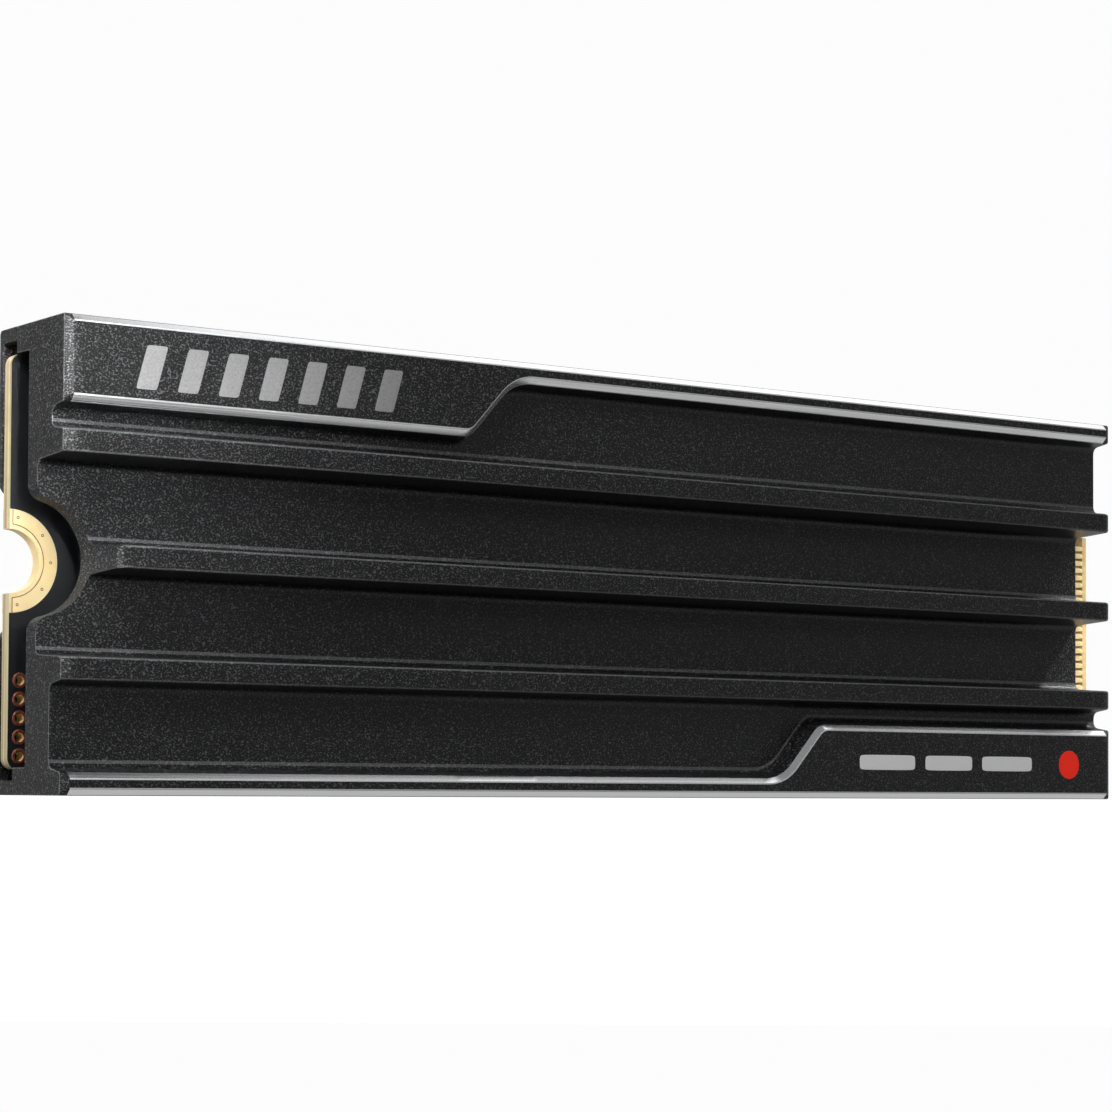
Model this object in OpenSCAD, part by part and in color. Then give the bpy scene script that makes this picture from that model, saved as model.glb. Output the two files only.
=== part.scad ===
// Solid state drive: a notched M.2 2280 card inside a finned metal cooler, standing on its long edge.
// Each piece is drawn flat: x from the screw notch to the connector, y across the card and z out of
// its component side, from the face of the card. Then stand_on_edge() turns it: +X to the connector,
// +Z up across the card, and the fins look to -Y. The origin is at the middle of the foot.

/* [Card] */
// Length of the card, from the screw notch edge to the contact edge
board_l = 80; // [30:1:110]
// Width of the card
board_w = 22; // [12:1:30]
// Thickness of the card
board_t = 0.8; // [0.6:0.1:1.2]
// Radius of the half-round screw notch
notch_r = 1.75; // [1:0.05:3]
// Outer radius of the plated ring round the notch
ring_r = 2.75; // [2:0.05:4]
// Width of the tongue that enters the socket
tongue_w = 19.85; // [10:0.05:22]
// Length of the tongue
tongue_l = 4; // [3:0.1:6]
// Distance from the card's middle to the key slot
key_y = 6.125; // [-8:0.125:8]
// Width of the key slot
key_w = 1.2; // [0.8:0.1:2]
// Depth of the key slot
key_l = 3.5; // [2:0.1:5]

/* [Contacts] */
// Distance from one contact to the next
pitch = 0.5; // [0.4:0.1:1]
// Width of a contact
contact_w = 0.35; // [0.2:0.05:0.8]
// Length of a contact
contact_l = 2.8; // [1.5:0.1:4]
// Number of contact places across the component side, with the key slot's
places = 38; // [10:1:60]
// Contact places that the key slot takes
key_places = 4; // [1:1:8]

/* [Cooler] */
// Total thickness, from the fin tops to the back of the plate
cooler_t = 8; // [6:0.1:11.25]
// Width of the cooler
cooler_w = 24.7; // [22:0.1:25]
// Length of the cooler
cooler_l = 75.7; // [60:0.1:80]
// Depth of the two middle channels
deep_floor = 3.25; // [1:0.05:4]
// Depth of the two side channels
side_floor = 1.6; // [0.5:0.05:3]
// Distance between fins
fin_pitch = 5.84; // [3:0.02:8]
// Width of a fin at its top
fin_w = 1.2; // [0.6:0.02:2]
// How far a fin's foot stands out on each side
fin_draft = 0.18; // [0:0.02:0.5]
// Clear height between the card and the cooler's inside
inner_h = 2.1; // [1.5:0.1:3]
// Radius of the scoop that leaves room for the screw head
scoop_r = 3.1; // [2.8:0.1:4]
// Radius of the rounded lips of the scoop
lip_r = 0.9; // [0.2:0.1:2]

/* [Ledges] */
// Distance from the middle to the wide ledge's wall
wide_edge = 7.82; // [7:0.01:11]
// Distance from the middle to the narrow ledge's wall
narrow_edge = 11.12; // [8:0.01:12]
// Width of the bright bevels
bevel = 0.42; // [0.1:0.02:1]
// Size of the bevel at each end of the cooler
end_bevel = 0.34; // [0.1:0.02:1]
// Length of the wide ledge before its edge turns outward
wide_l = 24.5; // [10:0.5:60]
// Angle of the slanting part of the edge
slant = 48; // [20:1:80]
// Radius where the edge leaves the wide ledge
near_r = 1.2; // [0.3:0.1:4]
// Radius where the edge meets the narrow ledge
far_r = 2.6; // [0.5:0.1:6]

/* [Back plate] */
// Thickness of the back plate
plate_t = 0.45; // [0.3:0.05:1]
// Thickness of the pad between the card and the plate
back_pad_t = 0.25; // [0.1:0.05:1]
// Height of the plate's rims above the face of the card
rim_top = 0.6; // [0:0.1:2]
// Width of the rims
rim_w = 0.77; // [0.4:0.01:1.2]
// Radius of the plate's opening behind the screw notch
plate_notch_r = 3.5; // [3:0.1:5]
// Length of the label on the back
label_l = 62; // [20:1:70]
// Width of the label on the back
label_w = 17; // [8:0.5:22]

/* [Packages] */
// Length of a flash package
flash_l = 14; // [8:0.5:16]
// Width of a flash package
flash_w = 18; // [8:0.5:18]
// Centre of the flash package near the notch, along the card
flash_x = 13; // [12.5:0.5:13.5]
// Distance from one flash package to the next
flash_step = 16.5; // [16.5:0.5:17]
// Length of the buffer memory package
buffer_l = 7.5; // [4:0.5:8]
// Width of the buffer memory package
buffer_w = 13; // [6:0.5:18]
// Centre of the buffer memory package along the card
buffer_x = 43; // [42:0.5:44]
// Side of the controller's square carrier
controller = 15; // [8:0.5:20]
// Side of the controller's metal lid
controller_lid = 13; // [6:0.5:18]
// Centre of the controller along the card
controller_x = 57;
// Height of every package above the card
package_h = 1.35; // [0.8:0.05:1.5]
// Height of the solder balls
ball_h = 0.25; // [0.1:0.05:0.5]

/* [Hidden] */
$fn = 64;
e = 0.5;
ink = 0.04;
front = cooler_t - board_t - back_pad_t - plate_t;
back = front - cooler_t;
plate_face = back + plate_t;
half_w = cooler_w / 2;
inner_w = board_w - 0.2;
gold = [0.93, 0.76, 0.42];
tin = [0.8, 0.8, 0.82];
black = [0.09, 0.09, 0.1];
chip_black = [0.12, 0.12, 0.13];
hole_inset = 0.66;
hole_first = -6.3;
hole_pitch = 1;
test_holes = [for (i = [0:4]) [hole_inset, hole_first - i * hole_pitch]];
test_r = 0.3;
test_rim = 0.42;
test_bore = 0.21;
finger_gap = 0.35;
key_first = 29;
flash = [flash_l, flash_w, package_h - ball_h];
buffer = [buffer_l, buffer_w, package_h - ball_h];
carrier_h = 0.35;
chip_size = [5, 5, 0.85];
crystal_size = [2.5, 2, 0.6];
pad_w = 18;

// Small parts under the cooler: the centre of each and its turn, then one size for the kind.
caps = concat(
    [for (i = [0:7]) [[39.2 + 1.1 * i, 9.6], 0]],
    [for (i = [0:7]) [[39.2 + 1.1 * i, -9.6], 0]],
    [for (i = [0:5]) [[67.2, -9 + 1.4 * i], 90]],
    [for (i = [0:3]) [[21.25, -7.5 + 5 * i], 90]]);
cap_size = [1, 0.5, 0.5];
resistors = concat(
    [for (i = [0:3]) [[49.5 + 1.3 * i, 9.6], 0]],
    [for (i = [0:3]) [[49.5 + 1.3 * i, -9.6], 0]],
    [for (i = [0:2]) [[74.6, -3 + 1.5 * i], 90]]);
resistor_size = [1, 0.5, 0.35];
tanks = [[4.6, 6.6], [4.6, -7.6]];
tank_size = [1.6, 3.2, 1.3];
coils = [[71.2, 8.1], [71.2, 4.9], [71.2, -7.8]];
coil_size = [2.5, 2.5, 1.1];
end_share = 0.24;

heatsink();
back_plate();
circuit_board();
contacts_front();
contacts_back();
screw_ring_front();
screw_ring_back();
screw_notch_lining();
test_hole_linings();
flash_package(flash_x);  // flash_near_notch
flash_package(flash_x + flash_step);  // flash_middle
flash_balls();
controller_carrier();
controller_lid();
controller_balls();
buffer_memory();
buffer_balls();
power_chip();
power_coils();
coil_ends();
capacitors();
capacitor_ends();
tank_capacitors();
tank_ends();
resistor_bodies();  // resistors
resistor_ends();
crystal();
pad_flash();
pad_controller();
pad_back();
back_label();

// Turns a piece that was drawn flat onto its long edge.
module stand_on_edge() {
    translate([-board_l / 2, front - cooler_t / 2, half_w]) rotate([90, 0, 0]) children();
}

// A box given by its middle in the flat plane, its foot height and its size.
module block(middle, foot, size) {
    translate([middle[0], middle[1], foot + size[2] / 2]) cube(size, center = true);
}

// A cross-section in (y, z), drawn out along x.
module along_x(from, length) {
    translate([from, 0, 0]) rotate([90, 0, 90]) linear_extrude(length) children();
}

// Points round an arc, both ends included.
function arc(centre, r, from, to, steps = 8) = [for (i = [0:steps])
    let (a = from + (to - from) * i / steps) centre + r * [cos(a), sin(a)]];

// The ledge's wall as seen from the front: straight along the wide ledge, out through an S and
// straight along the narrow one. A move pushes the whole line into the ledge.
function wall_line(move) = let (
        low = wide_edge,
        rise = narrow_edge - wide_edge,
        straight = (rise - (near_r + far_r) * (1 - cos(slant))) / sin(slant),
        near = [wide_l, low + near_r],
        turn = near + near_r * [sin(slant), -cos(slant)] + straight * [cos(slant), sin(slant)],
        far = turn + far_r * [sin(slant), -cos(slant)])
    concat([[-e, low + move]],
        arc(near, near_r - move, -90, slant - 90),
        arc(far, far_r + move, 90 + slant, 90),
        [[cooler_l + e, narrow_edge + move]]);

// One side channel with its bevelled ledge edge, on the +y side of the card.
module side_channel() {
    inner = fin_pitch + fin_w / 2;
    floor_z = front - side_floor;
    wall = concat([[-e, inner]], wall_line(0), [[cooler_l + e, inner]]);
    translate([0, 0, floor_z]) linear_extrude(side_floor + e) polygon(wall);
    bevel_wedge(wall, concat([[-e, inner]], wall_line(bevel + e), [[cooler_l + e, inner]]));
}

// The wedge that bevels the ledge's edge: between the wall's line and the same line moved out.
module bevel_wedge(low, high) {
    n = len(low);
    points = concat([for (p = low) [p[0], p[1], front - bevel]], [for (p = high) [p[0], p[1], front + e]]);
    sides = [for (i = [0:n - 1]) [i, (i + 1) % n, n + (i + 1) % n, n + i]];
    polyhedron(points, concat([[for (i = [0:n - 1]) n + i]], [[for (i = [n - 1:-1:0]) i]], sides));
}

// Cross-section of one of the two deep channels, between the middle fin and the next.
module deep_channel() {
    near = fin_w / 2;
    far = fin_pitch - fin_w / 2;
    floor_z = front - deep_floor;
    polygon([[near + fin_draft, floor_z], [far - fin_draft, floor_z], [far, front], [far, front + e],
        [near, front + e], [near, front]]);
}

// Cross-section of the cooler without its channels: a deep tray with bevelled long edges.
module tray_section() {
    wall = inner_w / 2;
    polygon([[-half_w, rim_top], [-half_w, front - bevel], [bevel - half_w, front], [half_w - bevel, front],
        [half_w, front - bevel], [half_w, rim_top], [wall, rim_top], [wall, inner_h], [-wall, inner_h],
        [-wall, rim_top]]);
}

// Outline of the scoop round the screw head, with lips that run out to the end face.
module scoop_outline() {
    lip_y = sqrt(pow(scoop_r + lip_r, 2) - lip_r * lip_r);
    circle(scoop_r);
    difference() {
        translate([-1, -lip_y]) square([1 + lip_r * scoop_r / (scoop_r + lip_r), 2 * lip_y]);
        for (side = [-1, 1]) translate([lip_r, side * lip_y]) circle(lip_r);
    }
}

// The finned cooler: a half turn about its middle brings it onto itself, apart from the scoop.
module heatsink() {
    middle = cooler_l / 2;
    color(black) stand_on_edge() difference() {
        along_x(0, cooler_l) tray_section();
        for (side = [0, 1]) translate([middle, 0, 0]) rotate([0, 0, 180 * side]) translate([-middle, 0, 0]) {
            side_channel();
            along_x(-e, cooler_l + 2 * e) deep_channel();
            translate([0, 0, front]) rotate([0, 45, 0])
                cube([end_bevel * sqrt(2), cooler_w + 2 * e, end_bevel * sqrt(2)], center = true);
        }
        translate([0, 0, inner_h - 1]) linear_extrude(cooler_t) scoop_outline();
    }
}

// The back plate: a shallow tray whose rims reach up to the cooler's walls.
module back_plate() {
    color(black) stand_on_edge() difference() {
        union() {
            translate([0, -half_w, back]) cube([cooler_l, cooler_w, plate_t]);
            for (side = [-1, 1])
                block([middle_x(), side * (half_w - rim_w / 2)], back, [cooler_l, rim_w, rim_top - back]);
        }
        translate([0, 0, back - 1]) cylinder(r = plate_notch_r, h = cooler_t);
        translate([0, 0, back]) label_block(ink * 2);
        for (side = [-1, 1]) translate([middle_x(), side * half_w, back]) rotate([45, 0, 0])
            cube([cooler_l + 1, bevel, bevel], center = true);
    }
}

function middle_x() = cooler_l / 2;

module label_block(depth) {
    translate([middle_x() - label_l / 2, -label_w / 2, 0]) cube([label_l, label_w, depth]);
}

module back_label() {
    color([0.86, 0.86, 0.85]) stand_on_edge() translate([0, 0, back]) label_block(ink * 2);
}

// Outline of the card: rounded corners, tongue, key slot and screw notch.
module board_outline() {
    corner = 0.6;
    shoulder = board_l - tongue_l;
    difference() {
        union() {
            translate([corner, -board_w / 2]) square([shoulder - corner, board_w]);
            translate([0, corner - board_w / 2]) square([corner + e, board_w - 2 * corner]);
            for (side = [-1, 1]) translate([corner, side * (board_w / 2 - corner)]) circle(corner);
            tongue_outline(shoulder);
        }
        circle(notch_r);
        for (hole = test_holes) translate(hole) circle(test_r);
    }
}

// The tongue has bevelled corners and the key slot with its round end.
module tongue_outline(shoulder) {
    cut = 0.4;
    half = tongue_w / 2;
    slot = board_l - key_l + key_w / 2;
    difference() {
        polygon([[shoulder - e, -half], [board_l - cut, -half], [board_l, cut - half], [board_l, half - cut],
            [board_l - cut, half], [shoulder - e, half]]);
        translate([slot, key_y]) circle(key_w / 2);
        translate([slot, key_y - key_w / 2]) square([key_l, key_w]);
    }
}

module circuit_board() {
    color([0.1, 0.1, 0.1]) stand_on_edge() translate([0, 0, -board_t]) linear_extrude(board_t) board_outline();
}

// A row of contacts. The key slot's places stay empty.
module contact_row(count, first_y, foot) {
    for (i = [0:count - 1]) if (i < key_first || i >= key_first + key_places)
        block([board_l - finger_gap - contact_l / 2, first_y + pitch * i], foot, [contact_l, contact_w, ink]);
}

module contacts_front() {
    color(gold) stand_on_edge() contact_row(places, -pitch * (places - 1) / 2, 0);
}

module contacts_back() {
    color(gold) stand_on_edge() contact_row(places - 1, -pitch * (places - 2) / 2, -board_t - ink);
}

// Half of a flat ring round the screw notch.
module half_ring(inner, outer, foot, height) {
    translate([0, 0, foot]) linear_extrude(height) intersection() {
        difference() {
            circle(outer);
            circle(inner);
        }
        translate([0, -outer]) square([outer, 2 * outer]);
    }
}

module screw_ring_front() {
    color(gold) stand_on_edge() half_ring(notch_r, ring_r, 0, ink);
}

module screw_ring_back() {
    color(gold) stand_on_edge() half_ring(notch_r, ring_r, -board_t - ink, ink);
}

module screw_notch_lining() {
    color(gold) stand_on_edge() half_ring(notch_r - ink, notch_r, -board_t, board_t);
}

// Copper linings of the small through holes beside the screw notch, with a ring on each face.
module test_hole_linings() {
    color([0.72, 0.4, 0.26]) stand_on_edge() for (hole = test_holes) translate(hole) difference() {
        union() {
            translate([0, 0, -board_t - ink]) cylinder(r = test_r, h = board_t + 2 * ink);
            for (foot = [-board_t - ink, 0]) translate([0, 0, foot]) cylinder(r = test_rim, h = ink);
        }
        translate([0, 0, -2]) cylinder(r = test_bore, h = 4);
    }
}

// A grid of solder balls under a package.
module balls(middle, size, columns, rows) {
    gap = [size[0] / columns, size[1] / rows];
    for (i = [0:columns - 1], j = [0:rows - 1])
        translate([middle + gap[0] * (i + 0.5 - columns / 2), gap[1] * (j + 0.5 - rows / 2), 0])
            cylinder(r = 0.2, h = ball_h, $fn = 24);
}

module flash_package(middle) {
    color(chip_black) stand_on_edge() block([middle, 0], ball_h, flash);
}

module flash_balls() {
    color(tin) stand_on_edge() for (i = [0:1]) balls(flash_x + i * flash_step, flash, 4, 8);
}

module controller_carrier() {
    color([0.05, 0.2, 0.1]) stand_on_edge() block([controller_x, 0], ball_h, [controller, controller, carrier_h]);
}

module controller_lid() {
    foot = ball_h + carrier_h;
    size = [controller_lid, controller_lid, package_h - foot];
    color([0.7, 0.7, 0.72]) stand_on_edge() block([controller_x, 0], foot, size);
}

module controller_balls() {
    color(tin) stand_on_edge() balls(controller_x, [controller, controller], 8, 8);
}

module buffer_memory() {
    color(chip_black) stand_on_edge() block([buffer_x, 0], ball_h, buffer);
}

module buffer_balls() {
    color(tin) stand_on_edge() balls(buffer_x, buffer, 3, 8);
}

module power_chip() {
    color(chip_black) stand_on_edge() block([71, -0.5], 0, chip_size);
}

// The middle of a two-ended part, between its metal ends.
module part_bodies(places, size) {
    for (place = places) translate(place[0]) rotate([0, 0, place[1]])
        block([0, 0], 0, [size[0] * (1 - 2 * end_share), size[1], size[2]]);
}

// The two metal ends of each part.
module part_ends(places, size) {
    for (place = places, side = [-1, 1]) translate(place[0]) rotate([0, 0, place[1]])
        block([side * size[0] * (1 - end_share) / 2, 0], 0, [size[0] * end_share, size[1], size[2]]);
}

function facing(places, angle) = [for (place = places) [place, angle]];

module power_coils() {
    color([0.3, 0.3, 0.31]) stand_on_edge() part_bodies(facing(coils, 0), coil_size);
}

module coil_ends() {
    color(tin) stand_on_edge() part_ends(facing(coils, 0), coil_size);
}

module capacitors() {
    color([0.62, 0.5, 0.36]) stand_on_edge() part_bodies(caps, cap_size);
}

module capacitor_ends() {
    color(tin) stand_on_edge() part_ends(caps, cap_size);
}

module tank_capacitors() {
    color([0.55, 0.44, 0.3]) stand_on_edge() part_bodies(facing(tanks, 90), tank_turned());
}

module tank_ends() {
    color(tin) stand_on_edge() part_ends(facing(tanks, 90), tank_turned());
}

function tank_turned() = [tank_size[1], tank_size[0], tank_size[2]];

module resistor_bodies() {
    color(chip_black) stand_on_edge() part_bodies(resistors, resistor_size);
}

module resistor_ends() {
    color(tin) stand_on_edge() part_ends(resistors, resistor_size);
}

module crystal() {
    color([0.75, 0.74, 0.7]) stand_on_edge() block([71, -4.6], 0, crystal_size);
}

// A soft pad between the packages and the cooler's inside.
module front_pad(from, to) {
    color([0.55, 0.57, 0.6]) stand_on_edge()
        block([(from + to) / 2, 0], package_h, [to - from, pad_w, inner_h - package_h]);
}

module pad_flash() {
    front_pad(6, 37.5);
}

module pad_controller() {
    front_pad(38.5, 66);
}

module pad_back() {
    color([0.55, 0.57, 0.6]) stand_on_edge() block([39, 0], plate_face, [64, 19, back_pad_t]);
}
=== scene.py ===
# %% [markdown]
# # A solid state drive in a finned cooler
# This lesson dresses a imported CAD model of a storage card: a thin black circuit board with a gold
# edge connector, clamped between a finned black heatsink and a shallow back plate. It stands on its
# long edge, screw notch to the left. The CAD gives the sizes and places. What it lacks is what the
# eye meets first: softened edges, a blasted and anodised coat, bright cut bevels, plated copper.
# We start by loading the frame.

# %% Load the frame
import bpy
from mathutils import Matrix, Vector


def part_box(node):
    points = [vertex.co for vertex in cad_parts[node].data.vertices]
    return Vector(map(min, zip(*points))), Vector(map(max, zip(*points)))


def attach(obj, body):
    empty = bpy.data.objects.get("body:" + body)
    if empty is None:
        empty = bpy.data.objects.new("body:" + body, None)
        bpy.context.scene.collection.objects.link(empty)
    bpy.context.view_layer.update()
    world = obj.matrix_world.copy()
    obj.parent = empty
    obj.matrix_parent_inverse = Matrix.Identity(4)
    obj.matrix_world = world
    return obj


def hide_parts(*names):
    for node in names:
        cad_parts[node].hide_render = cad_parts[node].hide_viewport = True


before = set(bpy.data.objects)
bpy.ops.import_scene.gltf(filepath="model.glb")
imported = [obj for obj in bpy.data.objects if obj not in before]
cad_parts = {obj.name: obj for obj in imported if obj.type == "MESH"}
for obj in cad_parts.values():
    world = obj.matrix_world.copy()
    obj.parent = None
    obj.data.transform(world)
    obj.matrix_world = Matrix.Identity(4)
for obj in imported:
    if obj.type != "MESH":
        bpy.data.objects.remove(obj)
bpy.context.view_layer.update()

# %% [markdown]
# ## Drawing flat, then standing it up
# Every piece of this drive is easiest to think of lying flat, in millimetres: x from the screw notch
# to the contacts, y across the card, z out of the component side, with zero at the face of the card.
# One function turns such points into the frame's metres. It reads the card's own box, so a piece
# always lands where the CAD card is.

# %% The flat plane
import math

import bmesh
import bpy
import numpy as np

MM = 0.001
card_low, card_high = (np.array(corner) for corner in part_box("circuit_board"))
sink_low, sink_high = (np.array(corner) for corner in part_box("heatsink"))
plate_high = np.array(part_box("back_plate")[1])


def stand(flat):
    """Flat millimetres to the frame's metres: x stays x, y becomes z, and z becomes minus y."""
    flat = np.asarray(flat, dtype=float)
    x, y, z = flat[..., 0], flat[..., 1], flat[..., 2]
    middle = (card_low[2] + card_high[2]) / 2
    return np.stack([card_low[0] + x * MM, card_low[1] - z * MM, middle + y * MM], axis=-1)


card_length, card_depth, card_width = (card_high - card_low) / MM
sink_length = (sink_high[0] - sink_low[0]) / MM
half_width = (sink_high[2] - sink_low[2]) / MM / 2
front = (card_low[1] - sink_low[1]) / MM
rim_top = (card_low[1] - sink_high[1]) / MM
back = (card_low[1] - plate_high[1]) / MM
print(f"card {card_length:.1f} x {card_width:.1f} x {card_depth:.2f} mm")
print(f"cooler {sink_length:.1f} x {half_width * 2:.1f} mm")
print(f"fin tops {front:.2f} mm above the card, parting line {rim_top:.2f}, back {back:.2f}")

# %% [markdown]
# ## From arrays to meshes
# A surface here is a grid of points: rows one way, columns the other. The faces of such a grid follow
# a fixed pattern of neighbours, so they come from index arithmetic on whole arrays, without a loop
# over points. A tube's grid closes on itself and its two ends get one flat face each. Edges sharper
# than 38 degrees stay sharp in the shading.

# %% Grid helpers
SHARP = 38


def grid_faces(rows, columns, wrap=False, loop=False):
    """The four-cornered faces of a grid: each joins a point to its right and lower neighbours. Wrap
    joins the last column to the first, loop the last row to the first."""
    index = np.arange(rows * columns).reshape(rows, columns)
    if wrap:
        index = np.concatenate([index, index[:, :1]], axis=1)
    if loop:
        index = np.concatenate([index, index[:1]])
    corners = [index[:-1, :-1], index[:-1, 1:], index[1:, 1:], index[1:, :-1]]
    return np.stack(corners, axis=-1).reshape(-1, 4)


def grid_border(rows, columns):
    """The points round a grid: first row, last column, last row and first column."""
    return np.concatenate([np.arange(columns), np.arange(1, rows) * columns + columns - 1,
                           (rows - 1) * columns + np.arange(columns - 2, -1, -1),
                           np.arange(rows - 2, 0, -1) * columns])


def tube_faces(rows, around):
    """The faces of a closed tube: its wrapped grid, then one flat face at each end."""
    ends = [list(range(around)), list(range((rows - 1) * around, rows * around))]
    return grid_faces(rows, around, wrap=True).tolist() + ends


def make_piece(name, points, faces, finishes, picks=None):
    """A mesh object from standing points and faces. Picks number each face's finish."""
    mesh = bpy.data.meshes.new(name)
    faces = [list(map(int, face)) for face in faces]
    mesh.from_pydata(np.asarray(points).reshape(-1, 3).tolist(), [], faces)
    for finish in finishes:
        mesh.materials.append(finish)
    if picks is not None:
        mesh.polygons.foreach_set("material_index", np.asarray(picks, dtype=np.int32))
    outward(mesh)
    piece = bpy.data.objects.new(name, mesh)
    bpy.context.collection.objects.link(piece)
    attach(piece, "root")
    return piece


def outward(mesh):
    """Joins points that coincide, turns the faces outward and marks the sharp edges. A mesh whose
    signed volume is negative is inside out, so its faces are reversed."""
    shape = bmesh.new()
    shape.from_mesh(mesh)
    bmesh.ops.remove_doubles(shape, verts=shape.verts, dist=1e-7)
    bmesh.ops.recalc_face_normals(shape, faces=shape.faces)
    if shape.calc_volume(signed=True) < 0:
        bmesh.ops.reverse_faces(shape, faces=shape.faces)
    shape.to_mesh(mesh)
    shape.free()
    mesh.polygons.foreach_set("use_smooth", np.ones(len(mesh.polygons), dtype=bool))
    mesh.set_sharp_from_angle(angle=math.radians(SHARP))
    mesh.update()


# %% [markdown]
# ## Finishes: a shared start
# All finishes are built from the same few nodes: the piece's own coordinates, a stretch, a noise, and
# a ramp that turns the noise into a colour, a roughness or a bump. The helpers below are only that.
# Scales are in waves per metre, so a grain of a tenth of a millimetre needs a scale near 10 000.

# %% Finish helpers
def finish_base(name, colour, roughness, metallic=0.0, specular=0.5):
    """A new material with its shader's plain values set on the shader itself."""
    material = bpy.data.materials.new(name)
    material.use_nodes = True
    shader = material.node_tree.nodes["Principled BSDF"]
    shader.inputs["Base Color"].default_value = (*colour, 1)
    shader.inputs["Roughness"].default_value = roughness
    shader.inputs["Metallic"].default_value = metallic
    shader.inputs["Specular IOR Level"].default_value = specular
    return material, shader


def over_piece(material, kind, scale, stretch):
    """A texture over the piece's own coordinates, pulled out along an axis where stretch is small."""
    nodes, links = material.node_tree.nodes, material.node_tree.links
    place = nodes.new("ShaderNodeTexCoord")
    mapping = nodes.new("ShaderNodeMapping")
    mapping.inputs["Scale"].default_value = stretch
    texture = nodes.new(kind)
    texture.inputs["Scale"].default_value = scale
    links.new(place.outputs["Object"], mapping.inputs["Vector"])
    links.new(mapping.outputs["Vector"], texture.inputs["Vector"])
    return texture


def noise(material, scale, detail=2.0, rough=0.5, stretch=(1, 1, 1)):
    """Cloudy noise: the detail is the number of finer layers, rough how much each of them counts."""
    texture = over_piece(material, "ShaderNodeTexNoise", scale, stretch)
    texture.inputs["Detail"].default_value = detail
    texture.inputs["Roughness"].default_value = rough
    return texture.outputs["Fac"]


def pitting(material, scale, stretch=(1, 1, 1)):
    """The distance to the nearest of many scattered points: small pits side by side, rims between."""
    return over_piece(material, "ShaderNodeTexVoronoi", scale, stretch).outputs["Distance"]


def ramp(material, source, stops):
    """A colour ramp: each stop is a place between 0 and 1 and a grey value or a colour."""
    node = material.node_tree.nodes.new("ShaderNodeValToRGB")
    while len(node.color_ramp.elements) < len(stops):
        node.color_ramp.elements.new(0.5)
    for element, (place, value) in zip(node.color_ramp.elements, stops):
        element.position = place
        element.color = (*value, 1) if isinstance(value, tuple) else (value, value, value, 1)
    material.node_tree.links.new(source, node.inputs["Fac"])
    return node.outputs["Color"]


def bump(material, shader, source, height, strength=1.0, under=None):
    """A bump whose full height is given in millimetres, over another bump if there is one."""
    node = material.node_tree.nodes.new("ShaderNodeBump")
    node.inputs["Strength"].default_value = strength
    node.inputs["Distance"].default_value = height * MM
    material.node_tree.links.new(source, node.inputs["Height"])
    if under is not None:
        material.node_tree.links.new(under, node.inputs["Normal"])
    material.node_tree.links.new(node.outputs["Normal"], shader.inputs["Normal"])
    return node.outputs["Normal"]


def feed(material, source, socket):
    """Joins a node's output to a socket of the shader."""
    material.node_tree.links.new(source, socket)


# %% [markdown]
# ## The black coat
# The heatsink and back plate are aluminium, blasted with fine grit and anodised black. Grit leaves shallow
# pits a tenth of a millimetre across, so the coat looks like fine leather: nearly black, with light specks
# where the rim between two pits catches the light. Noise alone would give soft clouds. So the pits are the
# cells round scattered points, bumped deep in the middle and high at the rims, and a softer noise of twice
# their size lies over them, because a blasted face has both. The colour follows the same cells. The bumps
# shade the pits for real, and the colour adds painted shade in the pits and a painted highlight on the
# rims.
#
# The same coat comes in four shades. The first is untouched. The second is lighter along the fins' edges,
# at the feet of their walls and on the rounded ends, which is a painted highlight. The third is lighter on
# the end bevels, which is painted light from the left. The fourth is dull and tinted blue, on the milled
# walls of the scoop, where the blue is painted to offset the warm light that the gold ring bounces on to
# them.

# %% Black anodised coat
GRAIN = 13000


def black_coat(name, pit, middle, rim, gloss=0.32, tint=(0.985, 1.0, 1.03)):
    """Pit, middle and rim are three greys, in the order of the distance to the nearest scattered point:
    the dark pits are painted shade and the light rims a painted highlight. The same distance is the first
    bump, a soft noise the second, and the roughness drifts slowly over the piece."""
    material, shader = finish_base(name, (middle,) * 3, 0.34, specular=gloss)
    pits = pitting(material, GRAIN, stretch=(0.8, 0.6, 1))
    swell = noise(material, 0.5 * GRAIN, detail=1)
    patches = noise(material, 90, detail=2)
    # Pit to rim: painted shade in the pits, painted highlight on the rims.
    greys = ((0.35, pit), (0.6, middle), (0.85, rim))
    shades = [(place, tuple(grey * np.array(tint))) for place, grey in greys]
    feed(material, ramp(material, pits, shades), shader.inputs["Base Color"])
    feed(material, ramp(material, patches, [(0.3, 0.31), (0.7, 0.37)]), shader.inputs["Roughness"])
    pitted = bump(material, shader, pits, 0.018, 0.8)
    bump(material, shader, swell, 0.012, 0.5, under=pitted)
    return material


coat = black_coat("black_anodised", 0.005, 0.015, 0.14)
# A lighter coat for the fins' edges, their feet and the rounded ends: a painted highlight.
highlight_coat = black_coat("edge_painted_highlight", 0.11, 0.15, 0.26)
# A lighter coat for the end bevels: painted light from the left.
lit_end_coat = black_coat("end_bevel_painted_light", 0.016, 0.04, 0.22)
# The blue tint of the scoop's walls is painted: it offsets the warm light bounced on to them from the gold
# ring.
milled = black_coat("milled_wall", 0.016, 0.036, 0.16, gloss=0.06, tint=(0.84, 0.97, 1.17))
print("finishes:", ", ".join(finish.name for finish in (coat, highlight_coat, lit_end_coat, milled)))

# %% [markdown]
# ## The bright bevels
# After anodising, a diamond cutter takes a narrow bevel off the ledges' edges and leaves bare
# aluminium. The cutter runs along the edge, so its marks are fine lines in that direction. A noise
# that is stretched along x, hundreds of times longer than wide, gives those lines in the roughness.
# Beside the bevel, a thin strip of pale satin metal is a painted highlight: the bright line where the
# rounded edge catches the light.

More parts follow.
